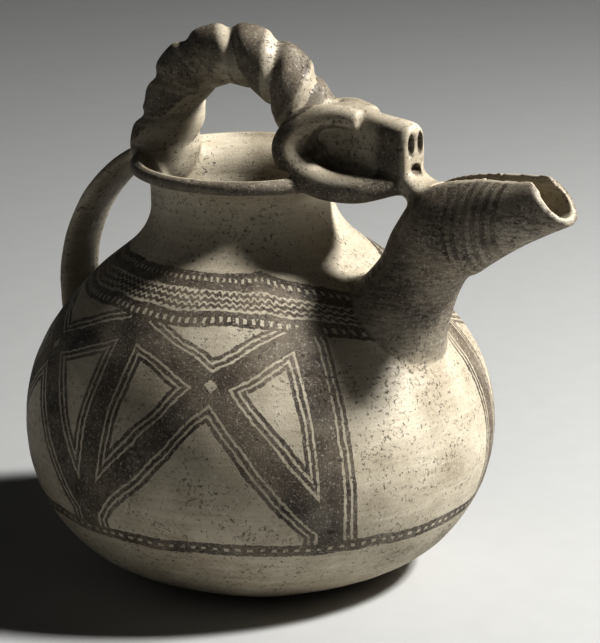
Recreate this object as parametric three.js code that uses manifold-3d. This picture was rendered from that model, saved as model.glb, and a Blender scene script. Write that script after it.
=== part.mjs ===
// A hand-built pottery jug with a round belly, a flaring mouth, a long open beak for a spout, a twisted basket handle
// over the mouth, a strap handle behind it and a ram's head with curled horns where the beak meets the rim.
// It was joined from wet clay and fired as one, so the whole jug is one hollow solid.
// Millimetres, +Z up, +X along the beak. The origin is the centre of the flat underside, on the ground.

import * as THREE from 'three';
import { mergeVertices } from 'three/addons/utils/BufferGeometryUtils.js';
import Module from 'manifold-3d';

// Belly, neck and lip, from the ground up
const BASE_RADIUS = 44;
const BELLY_RADIUS = 120;
const BELLY_HEIGHT = 76;
const SHOULDER_RISE = 77;
const SHOULDER_SET_IN = 41; // from the belly's widest radius
const SHOULDER_SLOPE = 42; // degrees above level
const NECK_RISE = 40;
const NECK_RADIUS = 46;
const RIM_RISE = 19.5;
const RIM_FLARE = 12.5; // from the neck's radius to the lip's
const LIP_THICKNESS = 8;
const WALL = 6;
const FLOOR_THICKNESS = 9;
// The neck was set on a little off centre: how far behind the base it stands, and how far in front of it the rim is.
const NECK_SHIFT = 12;
const RIM_FORWARD = 2.6;

// Beak. Its stations give a share of the run, a share of the rise and a share of the radius, from the belly to the tip.
const BEAK_START_X = 60;
const BEAK_START_RISE = 36; // above the belly's widest ring
const BEAK_RUN = 126;
const BEAK_TIP_RISE = 7; // above the rim
const BEAK_RADIUS = 24.5;
const BEAK_WALL = 4.5;
const BEAK_STATIONS = [
  { along: 0, up: 0, radius: 1.63 },
  { along: 0.175, up: 0.279, radius: 1.14 },
  { along: 0.278, up: 0.484, radius: 0.88 },
  { along: 0.349, up: 0.642, radius: 0.9 },
  { along: 0.448, up: 0.758, radius: 1 },
  { along: 0.619, up: 0.851, radius: 0.84 },
  { along: 0.794, up: 0.921, radius: 0.65 },
  { along: 1, up: 1, radius: 0.47 },
];
const BEAK_TIP_CUT = 43; // degrees: how far the cut end leans back from upright
const BEAK_TIP_TRIM = 5; // how far the cut stands short of the last station
const SLOT_START = 46; // from the start of the beak's run
const SLOT_WIDTH = 11; // between the beak's upper edges at the chin
const SLOT_TIP_WIDTH = 15;

// Twisted basket handle
const ROPE_RADIUS = 15.5;
const ROPE_SPAN = 85; // between the centres of its legs
const ROPE_LEG = 15; // from the rim to where the arch springs
const ROPE_RISE = 37; // from there to the centre line's top
const ROPE_BACK_SET = 3; // how far its middle stands behind the rim's
const ROPE_TURNS = 4.2;
const ROPE_GROOVE_DEPTH = 4;

// Strap handle
const STRAP_WIDTH = 31;
const STRAP_THICKNESS = 11;
const STRAP_TOP_REACH = 34;
const STRAP_FOOT_REACH = 22;
const STRAP_FOOT_RISE = 32; // above the belly's widest ring

// Ram's head. Its stations run from the crown to the face, in shares of its length, height and width.
const HEAD_LENGTH = 65;
const HEAD_HEIGHT = 39;
const HEAD_WIDTH = 24;
const HEAD_OVERLAP = 21; // how far its back reaches inside the rim's outer edge
const HEAD_SINK = 4.5; // how far its under side hangs below the rim's top
const HEAD_STATIONS = [
  { along: 0, under: 0.23, top: 0.74, wide: 0.67 },
  { along: 0.25, under: 0.05, top: 0.97, wide: 0.92 },
  { along: 0.55, under: 0, top: 1, wide: 1 },
  { along: 0.83, under: 0, top: 0.9, wide: 0.96 },
  { along: 0.93, under: 0, top: 0.87, wide: 0.92 },
  { along: 0.98, under: 0, top: 0.85, wide: 0.79 },
  { along: 1, under: 0, top: 0.81, wide: 0.62 },
];
// The chin sweeps from under the face down onto the beak, in the same shares.
const CHIN_STATIONS = [
  { along: 0.89, under: -0.03, top: 0.36, wide: 0.88 },
  { along: 1, under: -0.08, top: 0.31, wide: 0.88 },
  { along: 1.08, under: -0.2, top: 0.19, wide: 0.92 },
  { along: 1.2, under: -0.26, top: 0.15, wide: 0.92 },
  { along: 1.35, under: -0.26, top: 0.1, wide: 0.92 },
];
const BLOCK_SQUARENESS = 3.4;
const EYE_WIDTH = 4.6;
const EYE_HEIGHT = 9.5;
const EYE_SPACING = 8.6;
const EYE_UP = 0.63; // share of the head's height
const MOUTH_WIDTH = 8.5;
const MOUTH_HEIGHT = 5;
const MOUTH_UP = 0.32;
const PRESS_DEPTH = 1.6;

// Horns. Each starts on the crown, curls back and down past the lip and runs forward to the jaw.
const HORN_LENGTH = 56;
const HORN_HEIGHT = 33;
const HORN_SPREAD = 19;
const HORN_RADIUS = 8;
const HORN_STATIONS = [
  { along: 0.61, out: 0.32, up: 0.95, radius: 0.69 },
  { along: 0.36, out: 0.5, up: 1, radius: 0.75 },
  { along: 0.12, out: 0.74, up: 0.86, radius: 0.88 },
  { along: 0, out: 0.95, up: 0.5, radius: 1 },
  { along: 0.12, out: 1, up: 0.18, radius: 0.98 },
  { along: 0.39, out: 1, up: 0.02, radius: 0.92 },
  { along: 0.71, out: 0.9, up: 0, radius: 0.85 },
  { along: 1, out: 0.47, up: 0.08, radius: 0.7 },
];

const SHOULDER_HEIGHT = BELLY_HEIGHT + SHOULDER_RISE;
const SHOULDER_RADIUS = BELLY_RADIUS - SHOULDER_SET_IN;
const NECK_HEIGHT = SHOULDER_HEIGHT + NECK_RISE;
const RIM_HEIGHT = NECK_HEIGHT + RIM_RISE;
const RIM_RADIUS = NECK_RADIUS + RIM_FLARE;
const RIM_MIDDLE_X = RIM_FORWARD - NECK_SHIFT;
const HEAD_BACK_X = RIM_MIDDLE_X + RIM_RADIUS - HEAD_OVERLAP;
const HEAD_UNDER = RIM_HEIGHT - HEAD_SINK;

const wasm = await Module();
wasm.setup();

// Where the jug's middle stands at a height.
function leanAt(z) {
  const up = THREE.MathUtils.clamp((z - BELLY_HEIGHT) / (NECK_HEIGHT - BELLY_HEIGHT), 0, 1);
  const flare = THREE.MathUtils.clamp((z - NECK_HEIGHT) / RIM_RISE, 0, 1);
  return RIM_FORWARD * flare - NECK_SHIFT * up ** 2;
}

// A closed three.js geometry as a solid that can be joined and cut.
function solid(geometry) {
  const bare = geometry.index ? geometry.toNonIndexed() : geometry.clone();
  bare.deleteAttribute('normal');
  bare.deleteAttribute('uv');
  const merged = mergeVertices(bare, 1e-4);
  return new wasm.Manifold(
    new wasm.Mesh({
      numProp: 3,
      vertProperties: new Float32Array(merged.getAttribute('position').array),
      triVerts: new Uint32Array(merged.index.array),
    }),
  );
}

// A solid as a geometry with flat faces.
function geometryOf(shape) {
  const mesh = shape.getMesh();
  const geometry = new THREE.BufferGeometry();
  geometry.setAttribute('position', new THREE.BufferAttribute(new Float32Array(mesh.vertProperties), 3));
  geometry.setIndex(new THREE.BufferAttribute(new Uint32Array(mesh.triVerts), 1));
  const flat = geometry.toNonIndexed();
  flat.computeVertexNormals();
  return flat;
}

// Moves every vertex of a geometry by a function of its place.
function reshape(geometry, move) {
  const position = geometry.getAttribute('position');
  const point = new THREE.Vector3();
  for (let i = 0; i < position.count; i += 1) {
    point.fromBufferAttribute(position, i);
    move(point);
    position.setXYZ(i, point.x, point.y, point.z);
  }
  return geometry;
}

// Reads one of the stations' values at a share of the way through them.
function valueAlong(stations, name, share) {
  const place = share * (stations.length - 1);
  const i = Math.min(Math.floor(place), stations.length - 2);
  return THREE.MathUtils.lerp(stations[i][name], stations[i + 1][name], place - i);
}

// A smooth line through points.
function pathThrough(points) {
  return new THREE.CatmullRomCurve3(points, false, 'centripetal');
}

// A tube with closed ends: section(along, around) gives its half sizes in the path's plane and across it.
function tube(path, steps, sides, section) {
  const across = new THREE.Vector3();
  return reshape(new THREE.CylinderGeometry(1, 1, 1, sides, steps), (point) => {
    const along = point.y + 0.5;
    const around = Math.atan2(point.z, point.x);
    const out = Math.hypot(point.x, point.z);
    const tangent = path.getTangent(along);
    const outward = new THREE.Vector3(-tangent.z, 0, tangent.x).normalize();
    across.crossVectors(outward, tangent).normalize();
    const [deep, wide] = section(along, around);
    point
      .copy(path.getPoint(along))
      .addScaledVector(outward, out * deep * Math.cos(around))
      .addScaledVector(across, out * wide * Math.sin(around));
  });
}

// A round tube through points, whose radius follows the stations, made thinner all round by an inset.
function roundTube(points, stations, radius, inset, steps, sides) {
  return solid(
    tube(pathThrough(points), steps, sides, (along) => {
      const size = radius * valueAlong(stations, 'radius', along) - inset;
      return [size, size];
    }),
  );
}

// The outer outline of the wall from the ground to the lip: radius across, height up.
function outerOutline() {
  const slope = THREE.MathUtils.degToRad(SHOULDER_SLOPE);
  const inward = new THREE.Vector2(-Math.cos(slope), Math.sin(slope));
  const shoulder = new THREE.Vector2(SHOULDER_RADIUS, SHOULDER_HEIGHT);
  const before = shoulder.clone().addScaledVector(inward, -0.55 * SHOULDER_SET_IN);
  const after = shoulder.clone().addScaledVector(inward, 0.55 * (SHOULDER_RADIUS - NECK_RADIUS));
  const lip = LIP_THICKNESS / 2;
  const bellyBend = BELLY_RADIUS - BASE_RADIUS;
  const outline = new THREE.Path();
  outline.moveTo(BASE_RADIUS, 0);
  outline.absellipse(BASE_RADIUS, BELLY_HEIGHT, bellyBend, BELLY_HEIGHT, -Math.PI / 2, 0, false, 0);
  outline.bezierCurveTo(BELLY_RADIUS, BELLY_HEIGHT + SHOULDER_RISE / 2, before.x, before.y, shoulder.x, shoulder.y);
  outline.bezierCurveTo(after.x, after.y, NECK_RADIUS, NECK_HEIGHT - 0.55 * NECK_RISE, NECK_RADIUS, NECK_HEIGHT);
  outline.quadraticCurveTo(NECK_RADIUS, RIM_HEIGHT - 2.2 * lip, RIM_RADIUS - lip, RIM_HEIGHT - 2 * lip);
  return outline.getPoints(7).filter((point, i, all) => i === 0 || point.distanceTo(all[i - 1]) > WALL / 12);
}

const outer = outerOutline();

// The outline moved inwards by the wall, from the inner floor to the mouth.
function innerOutline() {
  const moved = outer.map((point, i) => {
    const before = outer[Math.max(i - 1, 0)];
    const after = outer[Math.min(i + 1, outer.length - 1)];
    const along = after.clone().sub(before).normalize();
    return new THREE.Vector2(point.x - along.y * WALL, point.y + along.x * WALL);
  });
  return moved.filter((point, i) => point.y > FLOOR_THICKNESS && i % 2 === 1);
}

// The wall's outer radius at a height.
function radiusAt(z) {
  const i = Math.max(1, outer.findIndex((point) => point.y >= z));
  const share = (z - outer[i - 1].y) / (outer[i].y - outer[i - 1].y);
  return THREE.MathUtils.lerp(outer[i - 1].x, outer[i].x, share);
}

// A turned solid from an outline that starts and ends on the axis, leaned back with the jug.
function turned(points, sides) {
  const geometry = new THREE.LatheGeometry(points, sides).rotateX(Math.PI / 2);
  return solid(reshape(geometry, (point) => point.setX(point.x + leanAt(point.z))));
}

// The clay of the belly, neck and rounded lip, without its hollow.
function belly() {
  const lip = LIP_THICKNESS / 2;
  const round = new THREE.Path();
  round.absarc(RIM_RADIUS - lip, RIM_HEIGHT - lip, lip, -Math.PI / 2, Math.PI / 2, false);
  const edge = round.getPoints(5).slice(1);
  return turned([new THREE.Vector2(0, 0), ...outer, ...edge, new THREE.Vector2(0, RIM_HEIGHT)], 42);
}

// The hollow of the belly and mouth.
function hollow() {
  const inner = innerOutline();
  const mouth = RIM_RADIUS - 0.6 * LIP_THICKNESS;
  const bevel = 0.4 * LIP_THICKNESS;
  return turned(
    [
      new THREE.Vector2(0, FLOOR_THICKNESS),
      new THREE.Vector2(inner[0].x - WALL, FLOOR_THICKNESS),
      ...inner,
      new THREE.Vector2(mouth - bevel, RIM_HEIGHT - bevel),
      new THREE.Vector2(mouth, RIM_HEIGHT),
      new THREE.Vector2(mouth, RIM_HEIGHT + bevel),
      new THREE.Vector2(0, RIM_HEIGHT + bevel),
    ],
    32,
  );
}

// The places of the beak's stations.
function beakPoints() {
  const low = BELLY_HEIGHT + BEAK_START_RISE;
  const high = RIM_HEIGHT + BEAK_TIP_RISE;
  return BEAK_STATIONS.map(
    ({ along, up }) => new THREE.Vector3(BEAK_START_X + along * BEAK_RUN, 0, THREE.MathUtils.lerp(low, high, up)),
  );
}

// A prism from corners in the plane of symmetry, with half its width on either side.
function slab(corners, width) {
  const geometry = new THREE.ExtrudeGeometry(new THREE.Shape(corners), { depth: width, bevelEnabled: false });
  return geometry.translate(0, 0, -width / 2).rotateX(Math.PI / 2);
}

// What is cut off beyond the slanting mouth of the beak.
function beyondTip(tip) {
  const slant = THREE.MathUtils.degToRad(BEAK_TIP_CUT);
  const foot = new THREE.Vector2(tip.x - BEAK_TIP_TRIM, tip.z - BEAK_RADIUS / 2);
  const along = new THREE.Vector2(-Math.sin(slant), Math.cos(slant)).multiplyScalar(3 * BEAK_RADIUS);
  const away = new THREE.Vector2(4 * BEAK_RADIUS, 0);
  const low = foot.clone().sub(along);
  const high = foot.clone().add(along);
  return solid(slab([low, low.clone().add(away), high.clone().add(away), high], 4 * BEAK_RADIUS));
}

// The slot that opens the beak from the chin to the tip.
function slot(points) {
  const start = BEAK_START_X + SLOT_START;
  const line = points.filter((point) => point.x > start).map((point) => new THREE.Vector2(point.x, point.z));
  const last = line[line.length - 1];
  const top = last.y + 2 * BEAK_RADIUS;
  const ramp = new THREE.Vector2(start, line[0].y + 0.6 * BEAK_RADIUS);
  const corners = [ramp, ...line, new THREE.Vector2(last.x, top), new THREE.Vector2(start, top)];
  return solid(
    reshape(slab(corners, 1), (point) => {
      const share = (point.x - start) / (last.x - start);
      point.setY(point.y * THREE.MathUtils.lerp(SLOT_WIDTH, SLOT_TIP_WIDTH, share));
    }),
  );
}

// The twisted basket handle, pressed flat onto the lip at both feet.
function rope() {
  const half = ROPE_SPAN / 2;
  const spring = RIM_HEIGHT + ROPE_LEG;
  const lip = RIM_RADIUS - LIP_THICKNESS / 2;
  const middle = RIM_MIDDLE_X - ROPE_BACK_SET;
  const points = [
    new THREE.Vector3(RIM_MIDDLE_X - lip, 0, RIM_HEIGHT - 1.5 * LIP_THICKNESS),
    new THREE.Vector3(RIM_MIDDLE_X - lip + LIP_THICKNESS / 3, 0, RIM_HEIGHT),
  ];
  for (let i = 0; i <= 8; i += 1) {
    const angle = Math.PI * (1 - i / 8);
    points.push(new THREE.Vector3(middle + half * Math.cos(angle), 0, spring + ROPE_RISE * Math.sin(angle)));
  }
  points.push(
    new THREE.Vector3(RIM_MIDDLE_X + lip - 0.75 * LIP_THICKNESS, 0, RIM_HEIGHT + LIP_THICKNESS / 4),
    new THREE.Vector3(RIM_MIDDLE_X + lip, 0, RIM_HEIGHT - LIP_THICKNESS),
  );
  return solid(
    tube(pathThrough(points), 44, 14, (along, around) => {
      const turn = around + 2 * Math.PI * ROPE_TURNS * along;
      const foot = Math.max(0, 1 - Math.min(along, 1 - along) / 0.13) ** 1.5;
      const radius = ROPE_RADIUS - ROPE_GROOVE_DEPTH * Math.abs(Math.cos(turn)) ** 7;
      return [THREE.MathUtils.lerp(radius, LIP_THICKNESS / 2, foot), radius + LIP_THICKNESS * foot];
    }),
  );
}

// The strap handle from the back of the lip to the shoulder.
function strap() {
  const footHeight = BELLY_HEIGHT + STRAP_FOOT_RISE;
  const topHeight = RIM_HEIGHT - LIP_THICKNESS / 3;
  const height = topHeight - footHeight;
  const top = new THREE.Vector3(RIM_MIDDLE_X - RIM_RADIUS + LIP_THICKNESS, 0, topHeight);
  const foot = new THREE.Vector3(leanAt(footHeight) - radiusAt(footHeight) + WALL / 2, 0, footHeight);
  const path = new THREE.CubicBezierCurve3(
    top,
    new THREE.Vector3(top.x - STRAP_TOP_REACH, 0, top.z - 0.06 * height),
    new THREE.Vector3(foot.x - STRAP_FOOT_REACH, 0, foot.z + 0.43 * height),
    foot,
  );
  return solid(tube(path, 16, 12, () => [STRAP_THICKNESS / 2, STRAP_WIDTH / 2]));
}

// A rounded block of the head along stations.
function block(stations) {
  return solid(
    reshape(new THREE.CylinderGeometry(1, 1, 1, 18, stations.length - 1), (point) => {
      const share = point.y + 0.5;
      const around = Math.atan2(point.z, point.x);
      const corner = Math.abs(Math.cos(around)) ** BLOCK_SQUARENESS + Math.abs(Math.sin(around)) ** BLOCK_SQUARENESS;
      const out = Math.hypot(point.x, point.z) * corner ** (-1 / BLOCK_SQUARENESS);
      const under = HEAD_UNDER + HEAD_HEIGHT * valueAlong(stations, 'under', share);
      const top = HEAD_UNDER + HEAD_HEIGHT * valueAlong(stations, 'top', share);
      point.set(
        HEAD_BACK_X + HEAD_LENGTH * valueAlong(stations, 'along', share),
        0.5 * HEAD_WIDTH * valueAlong(stations, 'wide', share) * out * Math.sin(around),
        0.5 * (under + top) + 0.5 * (top - under) * out * Math.cos(around),
      );
    }),
  );
}

// A shallow oval pressed into the face, at a share of the head's height.
function press(width, height, y, up) {
  const geometry = new THREE.SphereGeometry(1, 10, 6).scale(PRESS_DEPTH, width / 2, height / 2);
  return solid(geometry.translate(HEAD_BACK_X + HEAD_LENGTH, y, HEAD_UNDER + up * HEAD_HEIGHT));
}

// The ram's head with its eyes and mouth.
function head() {
  return block(HEAD_STATIONS)
    .subtract(press(EYE_WIDTH, EYE_HEIGHT, EYE_SPACING / 2, EYE_UP))
    .subtract(press(EYE_WIDTH, EYE_HEIGHT, -EYE_SPACING / 2, EYE_UP))
    .subtract(press(MOUTH_WIDTH, MOUTH_HEIGHT, 0, MOUTH_UP))
    .add(block(CHIN_STATIONS));
}

// One curled horn.
function horn(side) {
  const back = HEAD_BACK_X + HORN_RADIUS / 4;
  const low = HEAD_UNDER + HORN_RADIUS / 5;
  const points = HORN_STATIONS.map(
    ({ along, out, up }) => new THREE.Vector3(back + along * HORN_LENGTH, side * out * HORN_SPREAD, low + up * HORN_HEIGHT),
  );
  return roundTube(points, HORN_STATIONS, HORN_RADIUS, 0, 16, 9);
}

function vessel() {
  const line = beakPoints();
  const beak = roundTube(line, BEAK_STATIONS, BEAK_RADIUS, 0, 16, 20).subtract(beyondTip(line[line.length - 1]));
  const bore = roundTube(line, BEAK_STATIONS, BEAK_RADIUS, BEAK_WALL, 12, 16);
  const outside = belly().add(beak).add(strap()).subtract(hollow());
  const opened = outside.add(head()).subtract(bore).subtract(slot(line));
  return opened.add(rope()).add(horn(1)).add(horn(-1));
}

const clay = new THREE.MeshStandardMaterial({ color: 0xb9ad98, roughness: 0.8, metalness: 0 });
const jug = new THREE.Mesh(geometryOf(vessel()), clay);
jug.name = 'jug';
const part = new THREE.Group();
part.add(jug);

export default part;
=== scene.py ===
"""A hand-built, painted pottery jug with an open beak, a twisted basket handle and a ram's head.

The jug is one piece of fired clay. Its forms are modelled apart, fused as wet clay would be, hollowed, and
painted with a slip and dark brushwork. Metres, +Z up, +X along the beak.
"""

import math

import bmesh
import bpy
import numpy as np
from mathutils import Matrix, Vector, noise
from mathutils.geometry import interpolate_bezier


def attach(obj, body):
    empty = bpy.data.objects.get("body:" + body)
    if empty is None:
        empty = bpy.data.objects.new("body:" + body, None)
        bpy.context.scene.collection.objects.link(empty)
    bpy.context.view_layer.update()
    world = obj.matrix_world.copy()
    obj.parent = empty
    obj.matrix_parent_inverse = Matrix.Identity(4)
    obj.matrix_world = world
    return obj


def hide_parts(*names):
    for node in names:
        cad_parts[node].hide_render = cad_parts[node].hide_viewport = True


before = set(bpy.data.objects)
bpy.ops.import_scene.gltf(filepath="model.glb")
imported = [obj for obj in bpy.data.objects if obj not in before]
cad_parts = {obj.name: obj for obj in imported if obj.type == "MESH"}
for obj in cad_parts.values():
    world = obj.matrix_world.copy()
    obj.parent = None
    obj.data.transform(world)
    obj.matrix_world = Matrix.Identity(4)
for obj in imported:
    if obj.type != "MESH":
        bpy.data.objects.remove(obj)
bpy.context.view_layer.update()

bl_info = {
    "name": "Beaked Pottery Jug",
    "version": (1, 0, 0),
    "blender": (4, 5, 0),
    "location": "3D View > Sidebar > Jug",
    "description": "Builds a painted, hand-built pottery jug and a plain studio for it",
    "category": "Add Mesh",
}

JUG = "jug_clay"

# Stations of the beak from the belly to the tip: shares of its run, its rise and its radius.
BEAK = [
    (0.0, 0.0, 1.63),
    (0.175, 0.279, 1.14),
    (0.278, 0.484, 0.88),
    (0.349, 0.642, 0.90),
    (0.448, 0.758, 1.0),
    (0.619, 0.851, 0.84),
    (0.794, 0.921, 0.65),
    (1.0, 1.0, 0.47),
]
# Stations of the head from the crown to the face: shares of its length, the heights of its under side and top
# as shares of its height, and shares of its width.
HEAD = [
    (0.0, 0.23, 0.74, 0.6),
    (0.12, 0.12, 0.9, 0.62),
    (0.25, 0.05, 0.99, 0.6),
    (0.42, 0.0, 1.03, 0.58),
    (0.55, 0.0, 1.0, 0.62),
    (0.70, 0.0, 0.93, 0.72),
    (0.86, 0.0, 0.9, 0.8),
    (0.95, 0.0, 0.88, 0.8),
    (1.0, 0.0, 0.84, 0.68),
]
# The chin, which runs down onto the beak, in the same shares.
CHIN = [
    (0.86, -0.03, 0.4, 0.76),
    (0.97, -0.06, 0.34, 0.82),
    (1.06, -0.17, 0.22, 0.92),
    (1.18, -0.25, 0.15, 0.92),
    (1.35, -0.26, 0.1, 0.92),
]
# The web of clay that joins the lower bars of the horns under the cheeks.
WEB = [
    (0.08, -0.03, 0.14, 1.0),
    (0.25, -0.05, 0.2, 1.5),
    (0.5, -0.05, 0.2, 1.6),
    (0.72, -0.04, 0.2, 1.3),
    (0.84, 0.0, 0.18, 0.9),
]
# Stations of a horn from the crown round to the jaw: shares of its length, spread, height and radius.
HORN = [
    (0.61, 0.32, 0.95, 0.69),
    (0.36, 0.5, 1.0, 0.75),
    (0.12, 0.74, 0.86, 0.88),
    (0.0, 0.95, 0.5, 1.0),
    (0.12, 1.0, 0.18, 0.98),
    (0.39, 1.0, 0.02, 0.92),
    (0.71, 0.86, 0.0, 0.85),
    (1.0, 0.3, 0.08, 0.7),
]
# The eyes and the mouth: metres to the side, share of the head's height, width and height in metres.
FACE_MARKS = [(-0.004, 0.62, 0.0052, 0.0112), (0.004, 0.62, 0.0052, 0.0112), (0.0, 0.3, 0.0082, 0.0056)]


def length(name, description, default):
    """A length in metres that a user can change."""
    return bpy.props.FloatProperty(
        name=name, description=description, default=default, min=0.0, unit="LENGTH"
    )


def linear(hex_colour):
    """An sRGB hex colour as linear red, green and blue."""
    parts = [int(hex_colour[i : i + 2], 16) / 255 for i in (1, 3, 5)]
    return [c / 12.92 if c <= 0.04045 else ((c + 0.055) / 1.055) ** 2.4 for c in parts]


def colour(name, description, hex_colour):
    """A colour that a user can change."""
    return bpy.props.FloatVectorProperty(
        name=name,
        description=description,
        subtype="COLOR",
        size=3,
        min=0.0,
        max=1.0,
        default=linear(hex_colour),
    )


class JugSizes(bpy.types.PropertyGroup):
    """Sizes of the jug, worked out from the photograph with the belly at 240 mm across."""

    base_radius: length("Base radius", "Radius of the flat underside", 0.044)
    belly_radius: length("Belly radius", "Widest radius of the belly", 0.120)
    belly_height: length("Belly height", "Height of the widest ring", 0.076)
    shoulder_radius: length("Shoulder radius", "Radius where the belly turns into the neck", 0.079)
    shoulder_height: length("Shoulder height", "Height of that turn", 0.153)
    neck_radius: length("Neck radius", "Narrowest radius of the neck", 0.046)
    neck_height: length("Neck height", "Height of the narrowest ring", 0.193)
    rim_radius: length("Rim radius", "Outer radius of the lip", 0.0585)
    rim_height: length("Rim height", "Height of the lip's top", 0.2125)
    lip: length("Lip thickness", "Thickness of the rounded lip", 0.008)
    wall: length("Wall", "Thickness of the belly's wall", 0.006)
    floor: length("Floor", "Thickness of the floor inside", 0.009)
    neck_shift: length("Neck shift", "How far the neck stands behind the base", 0.012)
    rim_shift: length("Rim shift", "How far the rim stands in front of the neck", 0.0026)
    beak_start: length("Beak start", "Distance of the beak's first station from the axis", 0.060)
    beak_foot: length("Beak foot", "Height of the beak's first station", 0.112)
    beak_run: length("Beak run", "Length of the beak along the jug", 0.126)
    beak_tip: length("Beak tip", "Height of the beak's last station", 0.2195)
    beak_radius: length("Beak radius", "Radius of the beak's thickest part", 0.0245)
    beak_wall: length("Beak wall", "Thickness of the beak's wall", 0.0045)
    slot_start: length("Slot start", "Distance of the open slot from the axis", 0.106)
    slot_width: length("Slot width", "Width of the slot at the chin", 0.011)
    slot_tip: length("Slot tip width", "Width of the slot at the tip", 0.015)
    rope_radius: length("Rope radius", "Outer radius of the twisted handle", 0.0157)
    rope_half: length("Rope half span", "Half the distance between its legs", 0.0425)
    rope_leg: length("Rope leg", "Height of its legs above the lip", 0.015)
    rope_rise: length("Rope rise", "Height of its arch above the legs", 0.037)
    rope_groove: length("Rope groove", "Depth of the grooves between the strands", 0.0033)
    rope_turns: bpy.props.FloatProperty(
        name="Rope turns", description="Turns of the two strands along the handle", default=4.2
    )
    strap_width: length("Strap width", "Width of the strap handle", 0.031)
    strap_thickness: length("Strap thickness", "Thickness of the strap handle", 0.011)
    head_length: length("Head length", "From the crown to the face", 0.065)
    head_height: length("Head height", "Height of the head", 0.039)
    head_width: length("Head width", "Width of the head", 0.024)
    horn_length: length("Horn length", "Length of a curled horn", 0.056)
    horn_height: length("Horn height", "Height of a curled horn", 0.033)
    horn_spread: length("Horn spread", "How far a horn stands out sideways", 0.019)
    horn_radius: length("Horn radius", "Radius of a horn's thickest part", 0.008)
    grain: length("Clay grain", "Finest form that the modelled clay keeps", 0.00105)
    unevenness: length("Unevenness", "How far the hand-built wall swells and dips", 0.0006)


class JugColours(bpy.types.PropertyGroup):
    """Colours of the fired clay, its slip and its paint."""

    slip: colour("Slip", "Burnished pale slip", "#c9c0ad")
    slip_worn: colour("Worn slip", "Slip where it is thin or soiled", "#a39884")
    # The paint colours also serve for the painted shade on the horns, cheeks, eyes and mouth.
    paint: colour("Paint", "Dark brushed paint", "#625749")
    paint_thick: colour("Thick paint", "Paint where the brush left more", "#3f362e")
    grit: colour("Grit", "Dark grains and pits in the surface", "#2a2521")
    chalk: colour("Chalk", "Pale flecks where the surface is knocked", "#ddd6c8")


class StudioSettings(bpy.types.PropertyGroup):
    """The plain studio round the jug."""

    paper: colour("Paper", "Plain pale floor and backdrop", "#bcbcba")
    key_power: bpy.props.FloatProperty(
        name="Key light", description="Power of the soft key light", default=70.0, unit="POWER"
    )
    fill_power: bpy.props.FloatProperty(
        name="Fill light", description="Power of the weak fill light", default=1.2, unit="POWER"
    )
    sky: bpy.props.FloatProperty(
        name="Room light", description="Strength of the room's even light", default=0.008
    )


def lean(sizes, height):
    """How far the jug's middle stands in front of its base at a height."""
    up = np.clip((height - sizes.belly_height) / (sizes.neck_height - sizes.belly_height), 0, 1)
    flare = np.clip((height - sizes.neck_height) / (sizes.rim_height - sizes.neck_height), 0, 1)
    return sizes.rim_shift * flare - sizes.neck_shift * up**2


def outline(sizes):
    """The outer line of the wall from the ground to under the lip, as radius and height."""
    s = sizes
    slope = math.radians(42)
    inward = Vector((-math.cos(slope), math.sin(slope), 0))
    shoulder = Vector((s.shoulder_radius, s.shoulder_height, 0))
    widest = Vector((s.belly_radius, s.belly_height, 0))
    neck = Vector((s.neck_radius, s.neck_height, 0))
    bend = s.belly_radius - s.base_radius
    low = [
        Vector((s.base_radius + bend * math.sin(a), s.belly_height * (1 - math.cos(a)), 0))
        for a in np.linspace(0, math.pi / 2, 28)
    ]
    rise = Vector((0, s.shoulder_height - s.belly_height, 0))
    before = shoulder - inward * 0.55 * (s.belly_radius - s.shoulder_radius)
    after = shoulder + inward * 0.55 * (s.shoulder_radius - s.neck_radius)
    under = neck - Vector((0, 0.55 * (s.neck_height - s.shoulder_height), 0))
    lip = Vector((s.rim_radius - s.lip / 2, s.rim_height - s.lip, 0))
    bend_point = Vector((s.neck_radius, s.rim_height - 1.1 * s.lip, 0))
    middle = interpolate_bezier(widest, widest + rise / 2, before, shoulder, 22)
    upper = interpolate_bezier(shoulder, after, under, neck, 20)
    flare = interpolate_bezier(neck, neck.lerp(bend_point, 2 / 3), lip.lerp(bend_point, 2 / 3), lip, 12)
    return np.array([point[:2] for point in low + middle[1:] + upper[1:] + flare[1:]])


def inner_line(sizes, outer):
    """The line moved inwards by the wall, from the floor inside to the mouth."""
    along = np.gradient(outer, axis=0)
    along /= np.linalg.norm(along, axis=1)[:, None]
    moved = outer + sizes.wall * np.stack([-along[:, 1], along[:, 0]], axis=1)
    return moved[moved[:, 1] > sizes.floor]


def smooth_line(stations, count):
    """Rows spaced along a smooth line through the stations, whatever their columns hold."""
    rows = np.array(stations, float)
    ends = np.concatenate([[2 * rows[0] - rows[1]], rows, [2 * rows[-1] - rows[-2]]])
    made = []
    for place in np.linspace(0, len(rows) - 1, count):
        i = min(int(place), len(rows) - 2)
        t = place - i
        a, b, c, d = ends[i : i + 4]
        bent = 2 * b + (c - a) * t + (2 * a - 5 * b + 4 * c - d) * t**2 + (3 * b - a - 3 * c + d) * t**3
        made.append(0.5 * bent)
    return np.array(made)


def solid(name, bm):
    """A bmesh as an object of its own, with its faces pointing out."""
    bmesh.ops.remove_doubles(bm, verts=bm.verts, dist=1e-6)
    bmesh.ops.recalc_face_normals(bm, faces=bm.faces)
    mesh = bpy.data.meshes.new(name)
    bm.to_mesh(mesh)
    bm.free()
    made = bpy.data.objects.new(name, mesh)
    bpy.context.scene.collection.objects.link(made)
    return made


def spin_round(bm, points, steps):
    """Joins points in a row and spins the row once round the upright axis."""
    edges = [bm.edges.new(pair) for pair in zip(points, points[1:])]
    bmesh.ops.spin(
        bm,
        geom=points + edges,
        cent=(0, 0, 0),
        axis=(0, 0, 1),
        angle=2 * math.pi,
        steps=steps,
        use_merge=True,
    )


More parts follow.
